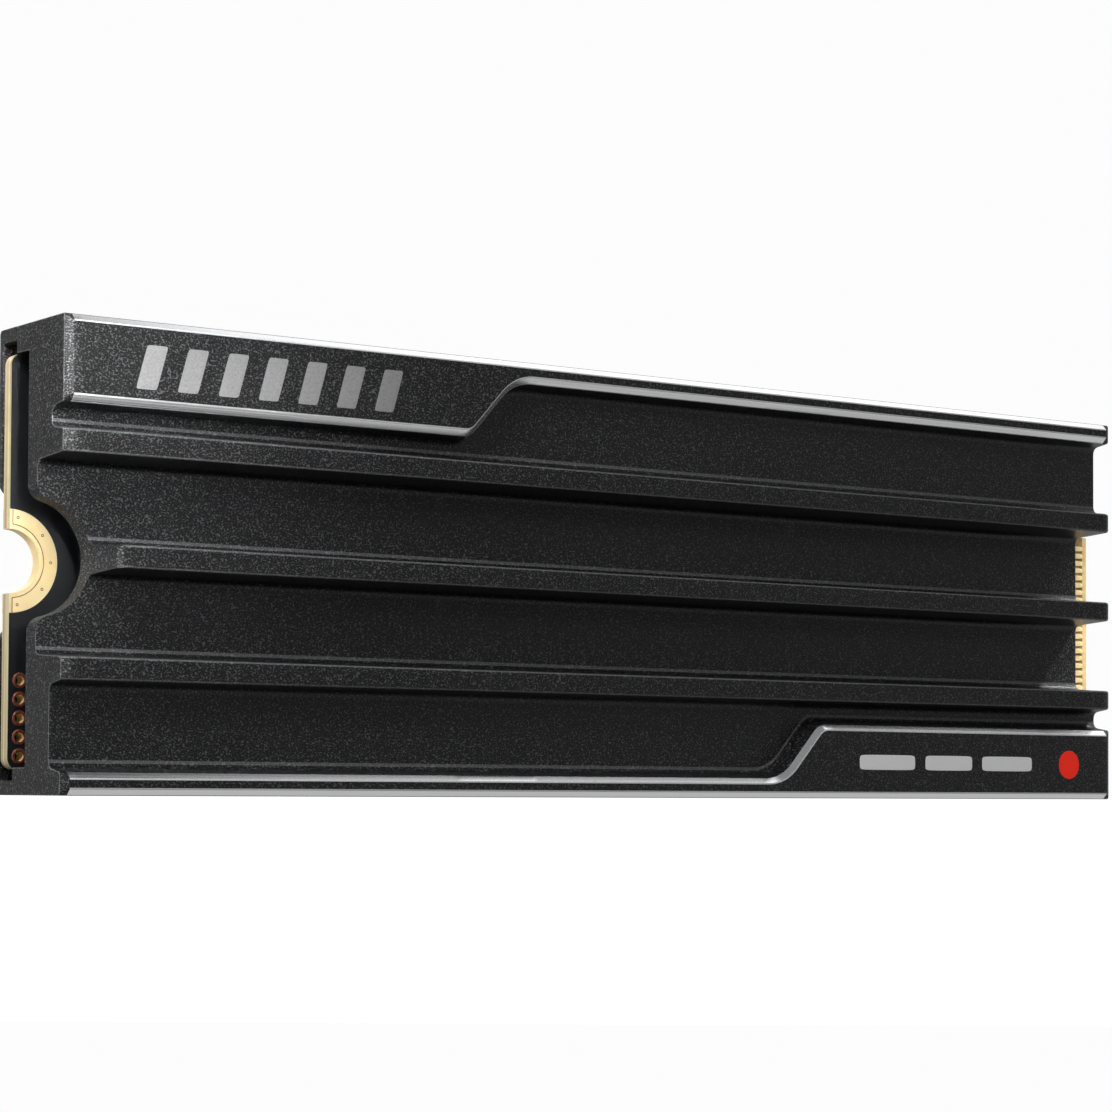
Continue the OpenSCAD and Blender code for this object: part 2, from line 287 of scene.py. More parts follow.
# %% Cut aluminium
def cut_aluminium():
    """Bare metal whose roughness and low bump follow lines drawn out along x."""
    material, shader = finish_base("cut_aluminium", (0.9, 0.905, 0.915), 0.24, metallic=1.0)
    lines = noise(material, 14000, detail=2, stretch=(0.004, 1, 1))
    feed(material, ramp(material, lines, [(0.3, 0.19), (0.7, 0.3)]), shader.inputs["Roughness"])
    bump(material, shader, lines, 0.002, 0.2)
    return material


def painted_glint_edge():
    """A painted highlight beside a bevel: a pale third metal, the rest scattering, with lines along x in
    its colour.
    """
    material, shader = finish_base("painted_glint_edge", (0.9, 0.9, 0.91), 0.45, metallic=0.35)
    lines = noise(material, 9000, detail=2, stretch=(0.01, 1, 1))
    feed(material, ramp(material, lines, [(0.3, 0.8), (0.7, 0.97)]), shader.inputs["Base Color"])
    return material


# The second finish is a painted highlight for the strips beside the bevels.
bright, glint_metal = cut_aluminium(), painted_glint_edge()
print("finishes:", bright.name, glint_metal.name)

# %% [markdown]
# ## The heatsink's cross-section
# The heatsink is an extrusion: a tray with three fins and a ledge along each side. Its cross-section
# is a closed outline of 28 corners. Only one thing changes along its length: each ledge is wide over
# a third of the drive and then narrow, and its edge swings across in an S made of two arcs and a
# slanting line. So the whole surface is one profile, carried along x, whose ledge corners move. The
# half-turn symmetry helps: the lower ledge is the upper one read from the other end.

# %% Ledge edge
WIDE_EDGE, NARROW_EDGE = 7.82, 11.12
WIDE_LENGTH = 24.5
SLANT = math.radians(48)
NEAR_RADIUS, FAR_RADIUS = 1.2, 2.6

slope_rise = NARROW_EDGE - WIDE_EDGE - (NEAR_RADIUS + FAR_RADIUS) * (1 - math.cos(SLANT))
slope_run = slope_rise / math.tan(SLANT)
slope_start = WIDE_LENGTH + NEAR_RADIUS * math.sin(SLANT)
turn_end = slope_start + slope_run + FAR_RADIUS * math.sin(SLANT)


def ledge_edge(x):
    """Height and slope angle of the ledge's edge at x. The near arc adds R (1 - cos a), the slanting
    line its run times the tangent, and the far arc R (cos a - cos slant)."""
    near = np.arcsin(np.clip((x - WIDE_LENGTH) / NEAR_RADIUS, 0, math.sin(SLANT)))
    far = np.arcsin(np.clip((turn_end - x) / FAR_RADIUS, 0, math.sin(SLANT)))
    height = WIDE_EDGE + NEAR_RADIUS * (1 - np.cos(near))
    height = height + math.tan(SLANT) * np.clip(x - slope_start, 0, slope_run)
    height = height + FAR_RADIUS * (np.cos(far) - math.cos(SLANT))
    return height, np.minimum(near, far)


s_places = np.concatenate([WIDE_LENGTH + NEAR_RADIUS * np.sin(np.linspace(0, SLANT, 9)),
                           turn_end - FAR_RADIUS * np.sin(np.linspace(SLANT, 0, 13))])
print(f"the edge turns from x = {WIDE_LENGTH} to {turn_end:.2f} mm, to a height of "
      f"{ledge_edge(np.array([turn_end]))[0][0]:.2f} mm")

# %% [markdown]
# The columns are the places along x where the profile is worked out. They are close together where
# something turns: at the two rounded ends and over the two S-shaped steps. In between, long straight
# faces need only a few. At both ends the front plane drops away over the last half millimetre, which
# is the end bevel. Its drop has to stay a little less than the width of the long bevels, or the
# outline would cross itself there.

# %% Columns along the heatsink
BEVEL = 0.36
END_BEVEL, END_DROP = 0.46, 0.28
END_RADIUS = 0.05
turn = np.radians(np.linspace(0, 90, 5))
end_places = np.concatenate([END_RADIUS * (1 - np.cos(turn)), [0.15, 0.24, 0.34, END_BEVEL]])
quiet = [np.linspace(1, WIDE_LENGTH - 0.5, 12), np.linspace(turn_end + 0.5, sink_length / 2, 5)]
one_half = np.concatenate([end_places, *quiet, s_places])
columns = np.unique(np.round(np.concatenate([one_half, sink_length - one_half]), 6))
end_distance = np.minimum(columns, sink_length - columns)
end_cut = END_DROP * np.clip(1 - end_distance / END_BEVEL, 0, 1)
angle_in = np.arccos(np.clip(1 - end_distance / END_RADIUS, 0, 1))
end_inset = END_RADIUS * (1 - np.sin(angle_in))
print(len(columns), "columns, the closest", round(np.diff(columns).min() * 1000), "micrometres apart")

# %% [markdown]
# Each corner is a pair of heights for every column. The fins lean in a little towards their tops, as
# on any extruded or moulded fin.

# %% Corners of the cross-section
FIN_PITCH, FIN_WIDTH = 5.84, 1.2
DEEP_FLOOR, SIDE_FLOOR = 3.25, 1.6
INNER_HEIGHT = 2.1
LEAN = 0.2
inner_half = card_width / 2 - 0.1


def heatsink_corners(x, cut):
    """Corners (column, corner, xyz) of the outline, lower side first and then round underneath. What
    the end bevel cuts off the front plane is taken off the long bevels' width as well."""
    low_y, low_angle = ledge_edge(sink_length - x)
    high_y, high_angle = ledge_edge(x)
    top, half_fin = front - cut, FIN_WIDTH / 2
    lip = BEVEL - cut
    deep, side = front - DEEP_FLOOR, front - SIDE_FLOOR
    corners = [(x, -half_width, rim_top), (x, -half_width, front - BEVEL), (x, lip - half_width, top),
               (x + lip * np.sin(low_angle), -low_y - lip * np.cos(low_angle), top),
               (x, -low_y, front - BEVEL), (x, LEAN - low_y, side)]
    for middle, left, right in ((-FIN_PITCH, side, deep), (0, deep, deep), (FIN_PITCH, deep, side)):
        corners += [(x, middle - half_fin - LEAN, left), (x, middle - half_fin, top),
                    (x, middle + half_fin, top), (x, middle + half_fin + LEAN, right)]
    corners += [(x, high_y - LEAN, side), (x, high_y, front - BEVEL),
                (x - lip * np.sin(high_angle), high_y + lip * np.cos(high_angle), top),
                (x, half_width - lip, top), (x, half_width, front - BEVEL), (x, half_width, rim_top),
                (x, inner_half, rim_top), (x, inner_half, INNER_HEIGHT), (x, -inner_half, INNER_HEIGHT),
                (x, -inner_half, rim_top)]
    blank = np.zeros_like(x)
    return np.stack([np.stack([part + blank for part in corner], axis=-1) for corner in corners], axis=1)


corners = heatsink_corners(columns, end_cut)
print("corners:", corners.shape)

# %% [markdown]
# Real edges are never sharp. Each corner is replaced by a short curve: it leaves one side a little
# before the corner, arrives on the other a little after, and bends towards the corner in between, as
# a quadratic curve does. The reach is large at the foot of a fin, where the tool had a round nose,
# and small along the cut bevels.

# %% Rounding
STEPS = 5
FIN_TOP, FIN_FOOT, CRISP, SOFT, BACK_EDGE = 0.17, 0.42, 0.05, 0.12, 0.3


def rounded(corners, reach):
    """Every corner of a closed outline becomes a curve of a few points between its start and stop:
    (1-t)^2 start + 2t(1-t) corner + t^2 stop. The reach is held below 45% of the shorter side, so
    that two curves never meet."""
    before, after = np.roll(corners, 1, axis=1), np.roll(corners, -1, axis=1)
    back_way, on_way = before - corners, after - corners
    back_length = np.linalg.norm(back_way, axis=-1, keepdims=True)
    on_length = np.linalg.norm(on_way, axis=-1, keepdims=True)
    reach = np.minimum(np.asarray(reach)[None, :, None], 0.45 * np.minimum(back_length, on_length))
    start = corners + back_way / back_length * reach
    stop = corners + on_way / on_length * reach
    t = np.linspace(0, 1, STEPS)[None, None, :, None]
    start, middle, stop = (point[:, :, None] for point in (start, corners, stop))
    curve = (1 - t) ** 2 * start + 2 * t * (1 - t) * middle + t ** 2 * stop
    return curve.reshape(len(corners), -1, 3)


def inset(outline, amount):
    """Pulls a closed (y, z) outline inwards by an amount per column, along the mean of the two
    neighbouring edges' normals."""
    way = np.roll(outline, -1, axis=1) - np.roll(outline, 1, axis=1)
    normal = np.stack([np.zeros_like(way[..., 0]), way[..., 2], -way[..., 1]], axis=-1)
    normal = normal / np.linalg.norm(normal, axis=-1, keepdims=True)
    y, z = outline[..., 1], outline[..., 2]
    area = np.sum(y * np.roll(z, -1, axis=1) - z * np.roll(y, -1, axis=1), axis=1)
    outward_sign = np.sign(area)[:, None, None]
    return outline - normal * outward_sign * amount[:, None, None]


reaches = ([SOFT] + [CRISP] * 4 + [FIN_FOOT] + [FIN_FOOT, FIN_TOP, FIN_TOP, FIN_FOOT] * 3
           + [FIN_FOOT] + [CRISP] * 4 + [SOFT] * 5)
skin = inset(rounded(corners, reaches), end_inset)
print("heatsink surface:", skin.shape[0], "x", skin.shape[1], "points")

# %% [markdown]
# The screw that holds the card down sits in a scoop cut through the heatsink at the notch end. It is
# an upright cylinder whose lips curl out to the end face. The cutter is that outline, drawn as one
# closed line of arcs and carried along z, and a Boolean takes it out of the extrusion, just as the
# milling cutter does on the real one.

# %% The scoop's cutter
SCOOP_RADIUS, LIP_RADIUS = 3.1, 0.9


def scoop_line(grow=0.0):
    """Half the outline: a quarter of the scoop's circle and the lip's arc, which touch at one point,
    then the same mirrored across y = 0. To grow, the circle widens and the lip tightens alike."""
    lip_y = math.sqrt((SCOOP_RADIUS + LIP_RADIUS) ** 2 - LIP_RADIUS ** 2)
    touch = math.atan2(lip_y, LIP_RADIUS)
    wall = np.linspace(0, touch, 22)
    lip = np.linspace(touch + math.pi, math.pi, 9)[1:]
    round_in, round_out = SCOOP_RADIUS + grow, LIP_RADIUS - grow
    x = np.concatenate([round_in * np.cos(wall), LIP_RADIUS + round_out * np.cos(lip), [-1]])
    y = np.concatenate([round_in * np.sin(wall), lip_y + round_out * np.sin(lip), [lip_y]])
    return np.stack([np.concatenate([x, x[:0:-1]]), np.concatenate([y, -y[:0:-1]])], axis=-1)


def stack_up(name, rings, heights, finishes):
    """Closed outlines of equal counts, one at each height, joined into a solid with flat ends."""
    rings = np.stack(rings)
    count = rings.shape[1]
    levels = np.asarray(heights, float)[:, None, None] * np.ones((1, count, 1))
    points = np.concatenate([rings, levels], axis=-1)
    return make_piece(name, stand(points), tube_faces(len(rings), count), finishes)


def carve(piece, cutter):
    """Takes the cutter out of the piece, keeps the result as the piece's mesh and drops the cutter."""
    step = piece.modifiers.new("carve", "BOOLEAN")
    step.operation, step.solver, step.object = "DIFFERENCE", "EXACT", cutter
    cutter.hide_render = True
    graph = bpy.context.evaluated_depsgraph_get()
    carved = bpy.data.meshes.new_from_object(piece.evaluated_get(graph))
    piece.modifiers.clear()
    old, piece.data = piece.data, carved
    bpy.data.meshes.remove(old)
    bpy.data.objects.remove(cutter)
    outward(piece.data)


# %% [markdown]
# Now the heatsink itself: the carried profile and one flat face at each end. Every face gets its finish by
# its place in the outline. The long bevels get cut aluminium. Beside them is a pale metal that is a
# painted highlight. The fins' edges, their feet and the rounded ends get a lighter coat that is a painted
# highlight. The end bevels get a lighter coat that is painted light. A weighted-normal step keeps the wide
# flats flat in the shading, while the rounded corners stay soft.

# %% Heatsink
COAT, BRIGHT, EDGE_HIGHLIGHT, LIT_END_BEVEL, MILLED, PAINTED_GLINT = range(6)
BEVELS, GLINT_CORNERS, TOPS = (1, 3, 19, 21), (2, 3, 19, 20, 21), (2, 7, 11, 15, 20)
FIN_EDGES, FEET = (7, 8, 11, 12, 15, 16), (5, 9, 13, 17)
HAIR = 1e-6


def build_heatsink():
    """The heatsink's mesh with its six finishes, and the scoop taken out of it."""
    rows, around = skin.shape[:2]
    row_of, place_of = np.divmod(np.arange((rows - 1) * around), around)

    def strips(corners, *steps):
        """True for the faces at these steps of these corners. The last step is the flat beyond."""
        return np.isin(place_of, [STEPS * corner + step for corner in corners for step in steps])

    flat = STEPS - 1
    between_ends = ((columns[row_of] >= END_BEVEL - HAIR)
                    & (columns[row_of] < sink_length - END_BEVEL - HAIR))
    from_end = np.minimum(columns[row_of], sink_length - columns[row_of + 1])
    at_rim = from_end < END_RADIUS * 0.6
    on_end_bevel = strips(TOPS, flat) & ~at_rim & (from_end < END_BEVEL - HAIR)
    # The fins' edges, the feet of their walls and the rounded ends take the lighter coat, a painted
    # highlight.
    picks = np.where(strips(FIN_EDGES, 1, 2) | strips(FEET, flat - 1) | at_rim, EDGE_HIGHLIGHT, COAT)
    # The end bevels take the lighter coat: painted light.
    picks = np.where(on_end_bevel, LIT_END_BEVEL, picks)
    # The strips beside the long bevels take the pale metal, a painted highlight.
    picks = np.where(strips(GLINT_CORNERS, *range(flat)) & between_ends, PAINTED_GLINT, picks)
    picks = np.where(strips(BEVELS, flat) & between_ends, BRIGHT, picks)
    picks = np.concatenate([picks, [COAT, COAT]])
    finishes = [coat, bright, highlight_coat, lit_end_coat, milled, glint_metal]
    piece = make_piece("finned_heatsink", stand(skin), tube_faces(rows, around), finishes, picks)
    straight, flared = scoop_line(), scoop_line(END_BEVEL)
    cutter = stack_up("scoop_cutter", [straight, straight, flared, flared],
                      [INNER_HEIGHT - 1, front - END_DROP, front, front + 1], [coat])
    carve(piece, cutter)
    finish_scoop(piece)
    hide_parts("heatsink")
    return piece


def finish_scoop(piece):
    """The Boolean gives the new faces whichever finish it likes. Every face inside the scoop's lips that
    stands upright gets the milled finish. The flare at the end of the middle fin gets the lighter
    end-bevel coat, which is painted light. A flare's normal leans halfway between upright and flat: its y
    lies between 0.5 and 0.85."""
    mesh = piece.data
    count = len(mesh.polygons)
    centre, normal, pick = np.empty(count * 3), np.empty(count * 3), np.empty(count, dtype=np.int32)
    mesh.polygons.foreach_get("center", centre)
    mesh.polygons.foreach_get("normal", normal)
    mesh.polygons.foreach_get("material_index", pick)
    x, _, z = ((centre.reshape(-1, 3) - [card_low[0], 0, (card_low[2] + card_high[2]) / 2]) / MM).T
    tilt = np.abs(normal.reshape(-1, 3)[:, 1])
    in_reach = (x > END_RADIUS) & (x < SCOOP_RADIUS + END_BEVEL)
    inside = in_reach & (np.abs(z) < SCOOP_RADIUS + LIP_RADIUS)
    pick[inside & (tilt < 0.3)] = MILLED
    # The middle fin's flare takes the lighter coat: painted light.
    pick[inside & (tilt > 0.5) & (tilt < 0.85) & (np.abs(z) < FIN_WIDTH)] = LIT_END_BEVEL
    mesh.polygons.foreach_set("material_index", pick)


def even_shading(piece):
    """Weights each point's normal by the area of its faces, so that flats look flat."""
    step = piece.modifiers.new("even shading", "WEIGHTED_NORMAL")
    step.keep_sharp = True
    step.weight = 80


heatsink = build_heatsink()
even_shading(heatsink)
print("heatsink faces:", len(heatsink.data.polygons))
print("its finishes:", ", ".join(finish.name for finish in heatsink.data.materials))

# %% [markdown]
# ## The back plate
# The back plate is the same kind of part: a shallow tray drawn out along x, with two rims that meet
# the heatsink at the parting line. It could be a bent sheet made with Solidify. A carried profile is
# better, because the rims are thicker than the floor and every edge has its own rounding. Its opening
# at the screw notch is cut with the same kind of cutter as the scoop, a little wider.

# %% Back plate
PLATE_THICK, RIM_WIDTH = 0.45, 0.77
PLATE_NOTCH = 3.5


def plate_corners(x):
    """Corners of the plate's outline: over one rim, across the tray and over the other rim."""
    floor_z = back + PLATE_THICK
    tray = half_width - RIM_WIDTH
    flat = [(-half_width, rim_top), (-tray, rim_top), (-tray, floor_z), (tray, floor_z),
            (tray, rim_top), (half_width, rim_top), (half_width, back), (-half_width, back)]
    blank = np.zeros_like(x)
    return np.stack([np.stack([x, y + blank, z + blank], axis=-1) for y, z in flat], axis=1)


def build_back_plate():
    """The tray's mesh, its rounded ends drawn in like the heatsink's, and the opening at the notch."""
    outline = inset(rounded(plate_corners(columns), [SOFT] * 6 + [BACK_EDGE] * 2), end_inset)
    piece = make_piece("back_tray", stand(outline), tube_faces(*outline.shape[:2]), [coat])
    opening = scoop_line() * PLATE_NOTCH / SCOOP_RADIUS
    carve(piece, stack_up("plate_cutter", [opening, opening], [back - 1, front], [coat]))
    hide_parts("back_plate")
    return piece


back_plate = build_back_plate()
even_shading(back_plate)
print("back plate faces:", len(back_plate.data.polygons))

# %% [markdown]
# ## The card's own finish
# The CAD card has the right outline, so it keeps its mesh and only gets a finish. A real card shows
# three: black solder mask on its faces, bare glass fibre on its cut edges, and a strip without mask
# where the contacts are. The finish tells them apart by the direction of the face and by x. The edge
# shows the card's copper and glass layers as faint stripes, which come from the depth alone.

# %% Card finish
def math_node(material, kind, first, second=None):
    """One Math node. An operand is a number or another node's output."""
    node = material.node_tree.nodes.new("ShaderNodeMath")
    node.operation = kind
    for socket, value in zip(node.inputs, (first, second)):
        if isinstance(value, (int, float)):
            socket.default_value = value
        elif value is not None:
            material.node_tree.links.new(value, socket)
    return node.outputs["Value"]


def blend_colours(material, share, first, second):
    """Mixes two colours, each a plain colour or a node's output, by a share between 0 and 1."""
    node = material.node_tree.nodes.new("ShaderNodeMix")
    node.data_type = "RGBA"
    material.node_tree.links.new(share, node.inputs["Factor"])
    for socket, value in ((node.inputs[6], first), (node.inputs[7], second)):
        if isinstance(value, tuple):
            socket.default_value = (*value, 1)
        else:
            material.node_tree.links.new(value, socket)
    return node.outputs[2]


MASK_END = card_length - 3.6
EDGE_STRIP = 0.36


def card_finish():
    """Solder mask on the faces up to the contacts, glass fibre between them, a bare strip at the end
    and the striped edge. The face's own direction tells faces and edges apart."""
    material, shader = finish_base("solder_masked_card", (0.02, 0.02, 0.022), 0.36)
    nodes, links = material.node_tree.nodes, material.node_tree.links
    place = nodes.new("ShaderNodeTexCoord")
    split, facing = nodes.new("ShaderNodeSeparateXYZ"), nodes.new("ShaderNodeSeparateXYZ")
    links.new(place.outputs["Object"], split.inputs["Vector"])
    links.new(place.outputs["Normal"], facing.inputs["Vector"])
    depth, along = facing.outputs["Y"], split.outputs["X"]
    on_face = math_node(material, "GREATER_THAN", math_node(material, "ABSOLUTE", depth), 0.6)
    before_contacts = math_node(material, "LESS_THAN", along, card_low[0] + MASK_END * MM)
    masked = math_node(material, "MULTIPLY", on_face, before_contacts)
    last_strip = math_node(material, "GREATER_THAN", along, card_high[0] - EDGE_STRIP * MM)
    fibres = noise(material, 2600, detail=3, stretch=(1, 6, 1))
    layers = noise(material, 5200, detail=0, stretch=(0.01, 1, 0.01))
    edge = ramp(material, layers, [(0.3, (0.58, 0.44, 0.2)), (0.5, (0.83, 0.68, 0.38)),
                                   (0.7, (0.92, 0.82, 0.55))])
    gaps = ramp(material, fibres, [(0.35, (0.2, 0.125, 0.045)), (0.65, (0.34, 0.23, 0.1))])
    strip = ramp(material, fibres, [(0.3, (0.72, 0.5, 0.2)), (0.7, (0.86, 0.64, 0.3))])
    bare_face = blend_colours(material, last_strip, gaps, strip)
    bare = blend_colours(material, on_face, edge, bare_face)
    mask = ramp(material, noise(material, 700, detail=4),
                [(0.3, (0.008, 0.009, 0.01)), (0.7, (0.016, 0.017, 0.019))])
    feed(material, blend_colours(material, masked, bare, mask), shader.inputs["Base Color"])
    bump(material, shader, noise(material, 3800, detail=3), 0.008, 0.5)
    return material


def dress(node, material):
    """Gives a CAD node that keeps its mesh its finish."""
    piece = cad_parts[node]
    piece.data.materials.clear()
    piece.data.materials.append(material)


card = card_finish()
dress("circuit_board", card)
print("finish:", card.name)

# %% [markdown]
# ## Gold and copper
# Contacts and screw ring are copper with a thin layer of nickel and gold. The plating is never a
# perfect mirror: its colour and height are a little cloudy, its roughness shows faint short streaks,
# and it scatters more than it mirrors, so it stays bright where only dark things are mirrored. The
# test holes are plated inside but not on their rims, where the copper has dulled to a red brown.

# %% Plated metals
def plated_gold():
    """Satin gold: clouds in its colour and its low bump, streaks in its roughness."""
    material, shader = finish_base("gold_plating", (0.98, 0.77, 0.4), 0.34, metallic=0.3)
    streaks = noise(material, 5200, detail=3, stretch=(0.5, 1, 1))
    clouds = noise(material, 520, detail=2)
    feed(material, ramp(material, clouds, [(0.3, (0.95, 0.73, 0.36)), (0.7, (1.0, 0.81, 0.46))]),
         shader.inputs["Base Color"])
    feed(material, ramp(material, streaks, [(0.3, 0.33), (0.7, 0.39)]), shader.inputs["Roughness"])
    bump(material, shader, clouds, 0.004, 0.3)
    return material


def dull_copper():
    """Tarnished copper, spotted between two red browns."""
    material, shader = finish_base("dull_copper", (0.3, 0.09, 0.05), 0.42, metallic=0.55)
    spots = noise(material, 6500, detail=3)
    feed(material, ramp(material, spots, [(0.35, (0.17, 0.045, 0.028)), (0.65, (0.36, 0.115, 0.07))]),
         shader.inputs["Base Color"])
    bump(material, shader, spots, 0.004, 0.5)
    return material


gold, copper = plated_gold(), dull_copper()
for node in ("screw_notch_lining", "screw_ring_back"):
    dress(node, gold)
print("finishes:", gold.name, copper.name)

# %% [markdown]
# ## The ring round the screw notch
# The ring is a half annulus of plated copper. A fine line runs round it, a little inside its inner arc
# and its straight ends, where the drill's guide pad stops. It is a groove with dull copper at its
# bottom, so it reads as a dark line. The grid has the radius one way and the angle the other. Near the
# straight ends the angle is chosen so that x keeps the same value down a whole column: the groove then
# follows the end exactly.

# %% Screw ring
NOTCH_RADIUS, RING_RADIUS, PLATING = 1.75, 2.75, 0.04
GROOVE_IN, GROOVE_RADIUS, GROOVE_HALF, GROOVE_DEEP = 0.16, 1.95, 0.035, 0.03
RIM_SOFT, SEAT = 0.03, 0.0005


def groove_depth(distance):
    """A rounded groove, 1 - (distance / half width)^2: 1 on its line, 0 past its half width."""
    return np.clip(1 - (distance / GROOVE_HALF) ** 2, 0, 1)


def build_screw_ring():
    """The ring's upper face on its grid, the same grid laid flat beneath it, and a hem between. Its
    height is the plating times the root of the distance from the rim, less the groove."""
    lines = GROOVE_HALF * np.linspace(-1, 1, 7)
    radius = np.concatenate([NOTCH_RADIUS + np.array([0, 0.01, 0.03, 0.1]), GROOVE_RADIUS + lines,
                             np.linspace(2.05, 2.65, 4), RING_RADIUS - np.array([0.03, 0.01, 0])])
    ends = np.concatenate([[0, 0.01, 0.03, 0.08], GROOVE_IN + lines, [0.25]])
    end_angle = np.arccos(ends[None, :] / radius[:, None])
    share = np.linspace(1, -1, 41)[1:-1]
    angle = np.concatenate([end_angle, end_angle[:, -1:] * share, -end_angle[:, ::-1]], axis=1)
    x, y = radius[:, None] * np.cos(angle), radius[:, None] * np.sin(angle)
    around_line = groove_depth(np.abs(radius[:, None] - GROOVE_RADIUS)) * (x > GROOVE_IN)
    end_line = groove_depth(np.abs(x - GROOVE_IN)) * (radius[:, None] > GROOVE_RADIUS)
    rim = np.minimum(np.minimum(radius - NOTCH_RADIUS, RING_RADIUS - radius)[:, None], x)
    groove = np.maximum(around_line, end_line)
    height = PLATING * np.clip(rim / RIM_SOFT, 0, 1) ** 0.5 - GROOVE_DEEP * groove
    points = np.stack([x, y, height], axis=-1)
    under = points * [1, 1, 0] + [0, 0, SEAT]
    top, edge, layer = grid_faces(*x.shape), grid_border(*x.shape), x.size
    next_edge = np.roll(edge, -1)
    hem = np.stack([edge, next_edge, next_edge + layer, edge + layer], axis=-1)
    faces = np.concatenate([top, top[:, ::-1] + layer, hem])
    picks = np.zeros(len(faces), dtype=int)
    picks[:len(top)] = groove.reshape(-1)[top].mean(axis=1) > 0.3
    points = np.concatenate([points.reshape(-1, 3), under.reshape(-1, 3)])
    piece = make_piece("screw_ring_face", stand(points), faces, [gold, copper], picks)
    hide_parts("screw_ring_front")
    return piece


screw_ring = build_screw_ring()
print("ring faces:", len(screw_ring.data.polygons))

# %% [markdown]
# ## Turned shapes: test holes and vias
# A hole's lining is a surface of revolution: a small closed profile, turned about the hole's axis.
# One function turns a profile about many centres at once, as one array of centre, angle and profile
# point. It makes the five test-hole linings and the five tiny vias in the screw ring.

# %% Test holes and vias
def turned(name, centres, radius, height, finishes, picks=None, turns=28):
    """Turns a closed profile of radii and heights about the z axis through each centre: x is the
    radius times the cosine of the angle, y the radius times its sine."""
    angle = np.linspace(0, 2 * math.pi, turns, endpoint=False)
    ring = np.stack([radius[None, :] * np.cos(angle)[:, None], radius[None, :] * np.sin(angle)[:, None],
                     height[None, :] + 0 * angle[:, None]], axis=-1)
    points = ring[None] + np.asarray(centres)[:, None, None, :]
    one = grid_faces(turns, len(radius), wrap=True, loop=True)
    faces = np.concatenate([one + k * turns * len(radius) for k in range(len(centres))])
    if picks is not None:
        picks = np.tile(np.asarray(picks), turns * len(centres))
    return make_piece(name, stand(points.reshape(-1, 3)), faces, finishes, picks)


HOLE_INSET, FIRST_HOLE, HOLE_PITCH = 0.66, -6.3, 1.0
hole_centres = [(HOLE_INSET, FIRST_HOLE - HOLE_PITCH * k, 0) for k in range(5)]
lining_radius = np.array([0.25, 0.25, 0.265, 0.3, 0.36, 0.405, 0.42,
                          0.42, 0.3, 0.3, 0.42, 0.42, 0.27, 0.25])
lining_height = np.array([-0.78, 0.02, 0.045, 0.055, 0.05, 0.035, 0.015,
                          0, -0.03, -0.77, -0.8, -0.84, -0.84, -0.82])
plated_bore = [1] + [0] * 12 + [1]
linings = turned("test_hole_rings", hole_centres, lining_radius, lining_height, [copper, gold],
                 plated_bore)
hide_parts("test_hole_linings")

VIA_ANGLES, VIA_CIRCLE = np.radians([-79, -37.5, 0, 37.5, 79]), 2.35
via_centres = [(VIA_CIRCLE * math.cos(a), VIA_CIRCLE * math.sin(a), PLATING) for a in VIA_ANGLES]
via_radius = np.array([0.001, 0.03, 0.045, 0.06, 0.075, 0.085, 0.001])
via_height = np.array([-0.004, -0.004, 0.001, 0.006, 0.005, -0.002, -0.012])
vias = turned("screw_ring_vias", via_centres, via_radius, via_height, [copper], turns=14)
print("linings:", len(linings.data.polygons), "faces, vias:", len(vias.data.polygons))

# %% [markdown]
# ## Contacts and printed marks: one kind of pad
# A contact is a strip of plated copper a few hundredths of a millimetre high, with rounded corners and
# softened edges. A printed mark is the same shape, thinner, in ink. So one function makes any number
# of pads at once: a small grid squashed into a rounded rectangle, lowest along its border. Its corners
# are rounded by the power rule of a squircle, and a lean shifts its upper side, for slanting bars.

# %% Pads
PAD_BORDER = 0.06


def pads(name, centres, sizes, foot, height, finish, lean=0.0, square=6.0, normal=1):
    """Rounded pads: a grid of points (a, b) over -1..1, each pulled in by max(|a|, |b|) over
    (|a|^n + |b|^n)^(1/n), n being square. The height follows a quarter circle over the border."""
    u = np.array([-1, -0.985, -0.94, -0.8, -0.4, 0, 0.4, 0.8, 0.94, 0.985, 1])
    a, b = np.meshgrid(u, u, indexing="ij")
    biggest = np.maximum(np.abs(a), np.abs(b))
    length = (np.abs(a) ** square + np.abs(b) ** square) ** (1 / square)
    pull = np.where(length > 0, biggest / np.maximum(length, 1e-9), 0)
    edge = np.clip((1 - biggest) / PAD_BORDER, 0, 1)
    rise = height * np.sqrt(edge * (2 - edge))
    centres, sizes = np.asarray(centres, float), np.asarray(sizes, float) * np.ones((len(centres), 2))
    x = centres[:, 0, None, None] + sizes[:, 0, None, None] / 2 * a * pull
    y = centres[:, 1, None, None] + sizes[:, 1, None, None] / 2 * b * pull
    x = x + lean * (y - centres[:, 1, None, None])
    z = foot + normal * (rise + 0 * x)
    points = np.stack([x, y, z], axis=-1)
    top, border = grid_faces(*a.shape), grid_border(*a.shape)[::-1]
    faces = []
    for first in a.size * np.arange(len(centres)):
        faces += (top + first).tolist() + [(border + first).tolist()]
    return make_piece(name, stand(points.reshape(-1, 3)), faces, [finish])


# %% [markdown]
# The contacts stand half a millimetre apart. The component side has 38 places and the back 37, set
# off by half a step, and on both the key slot takes four of them.

# %% Contacts
PITCH, CONTACT_WIDTH, CONTACT_LENGTH, END_GAP = 0.5, 0.35, 2.8, 0.35
KEY_FIRST, KEY_PLACES = 29, 4


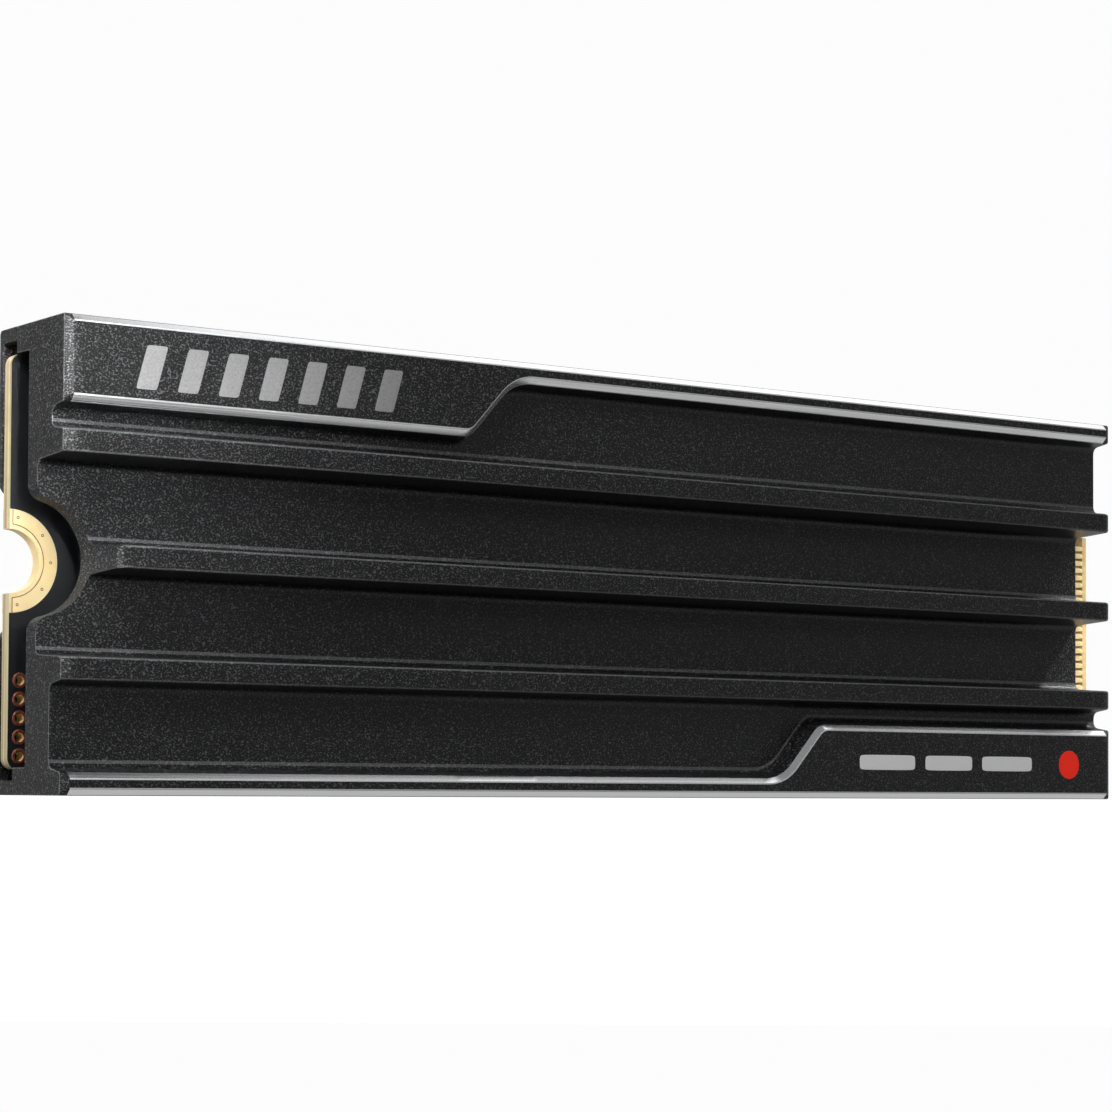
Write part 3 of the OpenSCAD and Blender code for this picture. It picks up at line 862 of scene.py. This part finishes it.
def contact_row(name, count, foot, normal, node):
    """A row of contacts centred across the card, less those at the key slot."""
    places = np.array([k for k in range(count) if not KEY_FIRST <= k < KEY_FIRST + KEY_PLACES])
    y = (places - (count - 1) / 2) * PITCH
    x = np.full_like(y, card_length - END_GAP - CONTACT_LENGTH / 2)
    row = pads(name, np.stack([x, y], axis=-1), (CONTACT_LENGTH, CONTACT_WIDTH), foot, PLATING, gold,
               normal=normal)
    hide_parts(node)
    return row


front_contacts = contact_row("contact_row_front", 38, 0.0, 1, "contacts_front")
back_contacts = contact_row("contact_row_back", 37, -card_depth, -1, "contacts_back")
print("contacts:", len(front_contacts.data.polygons), "and", len(back_contacts.data.polygons), "faces")

# %% [markdown]
# ## Printed marks
# The ledges carry pale screen-printed ink. The marks here are plain shapes of our own: a row of slanting
# bars on the upper ledge, and three dashes and a red dot on the lower one. Ink fills the coat's pits
# unevenly, so its colour is mottled nearly as finely as the grain. The lower ledge's marks sit at its dark
# end. Their white and red ink has a painted glow: it gives off a little light of its own, though it is no
# lamp.

# %% Ink
def ink(name, dark, light, roughness=0.5, glow=0.0):
    """Ink mottled between two shades. The glow is the strength of a painted glow: light of its own, though
    the ink is no lamp.
    """
    material, shader = finish_base(name, light, roughness, specular=0.35)
    mottle = noise(material, 7200, detail=3, rough=0.62)
    feed(material, ramp(material, mottle, [(0.3, dark), (0.6, light)]), shader.inputs["Base Color"])
    shader.inputs["Emission Color"].default_value = (*light, 1)
    shader.inputs["Emission Strength"].default_value = glow
    bump(material, shader, mottle, 0.012, 0.4)
    return material


pale_ink = ink("pale_ink", (0.29, 0.29, 0.29), (0.37, 0.37, 0.37))
# The white and red inks get a painted glow.
white_ink = ink("white_ink", (0.74, 0.74, 0.74), (0.9, 0.9, 0.9), glow=0.22)
red_ink = ink("red_ink", (0.9, 0.02, 0.008), (1.0, 0.028, 0.01), glow=0.36)
INK_FOOT, INK_HIGH = front - 0.012, 0.016
BAR_COUNT, FIRST_BAR, BAR_PITCH, BAR_LINE = 7, 4.9, 2.42, 9.9
DASH_HIGH, DASH_LINE = 0.95, -10.12

bar_places = [(FIRST_BAR + BAR_PITCH * k, BAR_LINE) for k in range(BAR_COUNT)]
bars = pads("slanting_bars", bar_places, (1.25, 2.4), INK_FOOT, INK_HIGH, pale_ink, lean=0.28,
            square=14)
dashes = pads("dashes", [(x, DASH_LINE) for x in (56.0, 61.15, 66.2)],
              [(length, DASH_HIGH) for length in (4.7, 4.1, 4.5)], INK_FOOT, INK_HIGH, white_ink, square=9)
dot = pads("red_dot", [(71.75, DASH_LINE)], (1.9, 1.9), INK_FOOT, INK_HIGH, red_ink, square=2)
print("marks:", [len(mark.data.polygons) for mark in (bars, dashes, dot)])

# %% [markdown]
# ## The label on the back
# The back carries a matt film label in a shallow pocket. It is one wide pad. Its print is plain as
# well: lines in place of words, and two empty frames.

# %% Label
def label_film():
    """Matt grey film with faint fibres along x."""
    material, shader = finish_base("label_film", (0.68, 0.68, 0.68), 0.55, specular=0.3)
    fibres = noise(material, 2400, detail=4, stretch=(0.3, 1, 1))
    feed(material, ramp(material, fibres, [(0.35, (0.6, 0.6, 0.605)), (0.65, (0.7, 0.7, 0.705))]),
         shader.inputs["Base Color"])
    bump(material, shader, fibres, 0.004, 0.4)
    return material


film = label_film()
grey_ink = ink("grey_ink", (0.03, 0.03, 0.032), (0.055, 0.055, 0.058), 0.45)
LABEL_SIZE, LABEL_HIGH, POCKET = (62.0, 17.0), 0.062, 0.06
PRINT_HIGH = 0.008
label_middle = sink_length / 2
label = pads("label_on_back", [(label_middle, 0)], LABEL_SIZE, back + POCKET, LABEL_HIGH, film,
             square=40, normal=-1)
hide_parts("back_label")

line_rows, line_columns = np.meshgrid(np.arange(6), np.arange(3), indexing="ij")
line_length = 12 - 3.2 * ((line_rows * 2 + line_columns) % 3)
line_x = label_middle + 25 - 16 * line_columns - line_length / 2
line_y = 5.6 - 1.5 * line_rows
print_lines = pads("label_lines", np.stack([line_x.ravel(), line_y.ravel()], axis=-1),
                   np.stack([line_length.ravel(), np.full(line_length.size, 0.5)], axis=-1),
                   back, PRINT_HIGH, grey_ink, normal=-1)
block_places = [(label_middle + x, y) for x, y in ((-23, 3), (-23, -4.6), (8, -5.6))]
blocks = pads("label_blocks", block_places,
              [(7.5, 7.5), (7.5, 3), (32, 1.8)], back, PRINT_HIGH, grey_ink, square=20, normal=-1)
print("label print:", len(print_lines.data.polygons) + len(blocks.data.polygons), "faces")

# %% [markdown]
# ## What is under the heatsink
# The parts on the card are hidden but for a glance into the gap at each end. They keep their CAD
# shapes, and each gets a finish of its own: moulded epoxy, tin, nickel, pressed ferrite, fired
# ceramic, green laminate and soft silicone. Each is a base colour, a mottle at its own scale and a
# little bump, so one function with a few numbers makes them all.

# %% Finishes under the heatsink
def mottled(name, dark, light, scale, roughness, height, metallic=0.0, stretch=(1, 1, 1)):
    """A plain finish with a mottle: two shades by noise, roughness a little uneven, a low bump."""
    material, shader = finish_base(name, light, roughness, metallic=metallic)
    spots = noise(material, scale, detail=4, stretch=stretch)
    feed(material, ramp(material, spots, [(0.35, dark), (0.65, light)]), shader.inputs["Base Color"])
    feed(material, ramp(material, spots, [(0.3, roughness - 0.06), (0.7, roughness + 0.06)]),
         shader.inputs["Roughness"])
    bump(material, shader, spots, height, 0.5)
    return material


hidden = [
    (mottled("moulded_epoxy", (0.012, 0.012, 0.013), (0.03, 0.03, 0.032), 6000, 0.55, 0.008),
     ["flash_near_notch", "flash_middle", "buffer_memory", "power_chip", "resistors"]),
    (mottled("tin", (0.55, 0.55, 0.57), (0.78, 0.78, 0.8), 4000, 0.34, 0.006, metallic=1.0),
     ["flash_balls", "controller_balls", "buffer_balls", "coil_ends", "capacitor_ends", "tank_ends",
      "resistor_ends"]),
    (mottled("nickel", (0.5, 0.49, 0.47), (0.64, 0.63, 0.61), 9000, 0.3, 0.003, 1.0, (0.05, 1, 1)),
     ["controller_lid", "crystal"]),
    (mottled("green_laminate", (0.006, 0.05, 0.02), (0.015, 0.1, 0.045), 2500, 0.4, 0.004),
     ["controller_carrier"]),
    (mottled("pressed_ferrite", (0.035, 0.035, 0.037), (0.09, 0.09, 0.092), 5000, 0.6, 0.012),
     ["power_coils"]),
    (mottled("fired_ceramic", (0.2, 0.12, 0.06), (0.34, 0.22, 0.12), 5200, 0.42, 0.004),
     ["capacitors", "tank_capacitors"]),
    (mottled("soft_silicone", (0.13, 0.145, 0.17), (0.2, 0.215, 0.24), 3000, 0.7, 0.02),
     ["pad_flash", "pad_controller", "pad_back"]),
]
for finish, nodes in hidden:
    for node in nodes:
        dress(node, finish)
print("dressed:", sum(len(nodes) for _, nodes in hidden), "nodes with", len(hidden), "finishes")

# %% [markdown]
# ## Camera
# The camera stands low and to the left, about 17 cm from the middle of the drive, and looks along
# the table. It is a long lens, so the far end shrinks only a little. A small upward shift keeps
# the upright edges upright without tilting the camera.

# %% Camera
from mathutils import Euler, Matrix, Vector

CAMERA_PLACE = (-0.1056, -0.1392, 0.0004)
TURN, RISE, ROLL = math.radians(-35.48), math.radians(1.97), math.radians(0.29)

lens = bpy.data.cameras.new("camera")
camera = bpy.data.objects.new("camera", lens)
bpy.context.collection.objects.link(camera)
lens.sensor_width = 36
lens.lens = 94.5
lens.shift_y = 0.1205
lens.clip_start = 0.005
turned_to = Euler((math.pi / 2 + RISE, 0, TURN)).to_matrix() @ Matrix.Rotation(ROLL, 3, "Z")
camera.matrix_world = Matrix.Translation(CAMERA_PLACE) @ turned_to.to_4x4()
bpy.context.scene.camera = camera
print("camera", round((Vector(CAMERA_PLACE) - Vector((0, 0, 0.012))).length * 1000), "mm from the middle")

# %% [markdown]
# ## Floor and light
# A plain pale floor and a pale surround. The drive is brightest at the notch end and fades to the
# right, so the main light is a small box close to that end and above it: the fins throw dark bands
# on to the channels. A narrow beam from the front adds to it, and a box on the left lights the end
# face and the notch. One at the front right and a wide one above give the bevels something bright to
# mirror, and one behind lights the back. The last two are tiny and narrow, for the gold ring and the
# gold contacts.

# %% Stage
MIRRORED_FLOOR = 0.5


def studio_surround():
    """A pale backdrop to look at, and a dim grey room to light by."""
    world = bpy.data.worlds.new("studio")
    bpy.context.scene.world = world
    world.use_nodes = True
    nodes, links = world.node_tree.nodes, world.node_tree.links
    room, backdrop = nodes["Background"], nodes.new("ShaderNodeBackground")
    room.inputs["Color"].default_value = (0.225, 0.225, 0.23, 1)
    backdrop.inputs["Color"].default_value = (0.98, 0.98, 0.98, 1)
    chooser, path = nodes.new("ShaderNodeMixShader"), nodes.new("ShaderNodeLightPath")
    links.new(path.outputs["Is Camera Ray"], chooser.inputs[0])
    links.new(room.outputs[0], chooser.inputs[1])
    links.new(backdrop.outputs[0], chooser.inputs[2])
    links.new(chooser.outputs[0], nodes["World Output"].inputs[0])


def pale_floor(half=2.5):
    """A matt pale floor. The lens sees it white and a mirror sees it light grey, but it throws little
    soft light up on to the drive, as if black cards lay round it outside the picture."""
    mesh = bpy.data.meshes.new("floor")
    corners = [(-half, -half, 0), (half, -half, 0), (half, half, 0), (-half, half, 0)]
    mesh.from_pydata(corners, [], [(0, 1, 2, 3)])
    material, shader = finish_base("pale_floor", (0.2, 0.2, 0.2), 0.9, specular=0.1)
    shader.inputs["Emission Color"].default_value = (1, 1, 1, 1)
    shader.inputs["Emission Strength"].default_value = 0.94
    nodes, links = material.node_tree.nodes, material.node_tree.links
    path = nodes.new("ShaderNodeLightPath")
    dim, sheen = nodes.new("ShaderNodeBsdfDiffuse"), nodes.new("ShaderNodeEmission")
    dim.inputs["Color"].default_value = (0.1, 0.1, 0.1, 1)
    sheen.inputs["Strength"].default_value = MIRRORED_FLOOR
    mirrored, seen = nodes.new("ShaderNodeMixShader"), nodes.new("ShaderNodeMixShader")
    links.new(path.outputs["Is Glossy Ray"], mirrored.inputs[0])
    links.new(dim.outputs[0], mirrored.inputs[1])
    links.new(sheen.outputs[0], mirrored.inputs[2])
    links.new(path.outputs["Is Camera Ray"], seen.inputs[0])
    links.new(mirrored.outputs[0], seen.inputs[1])
    links.new(shader.outputs[0], seen.inputs[2])
    links.new(seen.outputs[0], nodes["Material Output"].inputs["Surface"])
    mesh.materials.append(material)
    floor = bpy.data.objects.new("floor", mesh)
    bpy.context.collection.objects.link(floor)


def soft_box(name, place, aim, wide, high, power, spread=180):
    """An area light at a place, turned to face a point. A small spread, in degrees, narrows its beam
    as a honeycomb grid does."""
    light = bpy.data.lights.new(name, "AREA")
    light.shape, light.size, light.size_y, light.energy = "RECTANGLE", wide, high, power
    light.spread = math.radians(spread)
    box = bpy.data.objects.new(name, light)
    bpy.context.collection.objects.link(box)
    box.location = place
    box.rotation_euler = (Vector(aim) - Vector(place)).to_track_quat("-Z", "Y").to_euler()
    box.visible_camera = False


studio_surround()
pale_floor()
soft_box("near", (-0.060, -0.028, 0.045), (-0.035, 0, 0.018), 0.02, 0.02, 0.0187)
soft_box("beam", (-0.07, -0.15, 0.045), (-0.040, 0, 0.024), 0.02, 0.02, 0.00184, spread=12)
soft_box("left", (-0.30, -0.04, 0.07), (-0.04, 0, 0.012), 0.12, 0.12, 0.16)
soft_box("line", (0.25, -0.32, 0.17), (0, 0, 0.012), 0.14, 0.05, 0.03)
soft_box("above", (0.26, 0.06, 0.36), (0, 0, 0.02), 0.40, 0.22, 0.29)
soft_box("behind", (0.05, 0.5, 0.35), (0, 0, 0.012), 0.4, 0.3, 0.6)
soft_box("ring", (-0.135, -0.113, 0.03), (-0.0388, 0.0025, 0.0124), 0.003, 0.003, 0.00006, spread=3.4)
soft_box("contacts", (0.109, -0.036, 0.104), (0.042, 0.0025, 0.012), 0.003, 0.003, 0.00115, spread=8.8)
bpy.context.scene.view_settings.view_transform = "Standard"
